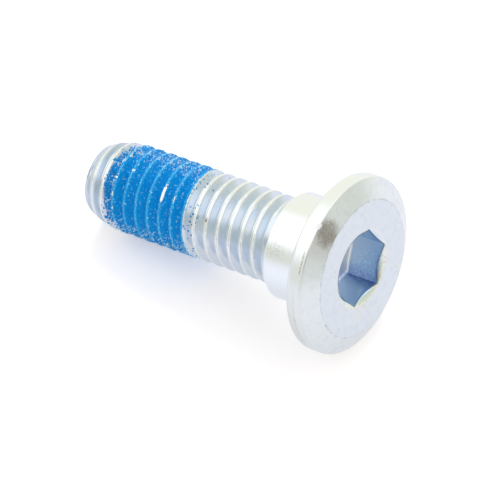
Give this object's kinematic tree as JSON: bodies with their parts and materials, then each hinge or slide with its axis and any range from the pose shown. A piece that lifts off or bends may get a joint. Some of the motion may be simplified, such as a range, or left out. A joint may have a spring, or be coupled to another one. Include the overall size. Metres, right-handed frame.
{
  "type": "flanged socket bolt",
  "caption": "Flat flanged bolt head with a hexagon socket, a plain locating collar under it and a threaded shank with a dried blue thread-lock patch.",
  "frame": {"origin": "middle of the flat of the head, on which the bolt stands", "axes": "+Z along the shank, from the head to the tip; +X through a corner of the hexagon socket"},
  "size_m": [0.0159, 0.0158, 0.0275],
  "materials": {
    "zinc_plated_steel": "satin zinc plating, pale blue passivated",
    "dried_thread_lock": "dried satin coat, slightly grainy"
  },
  "bodies": {
    "root": {"bolt": "zinc_plated_steel", "thread_lock_coat": "dried_thread_lock"}
  },
  "joints": []
}
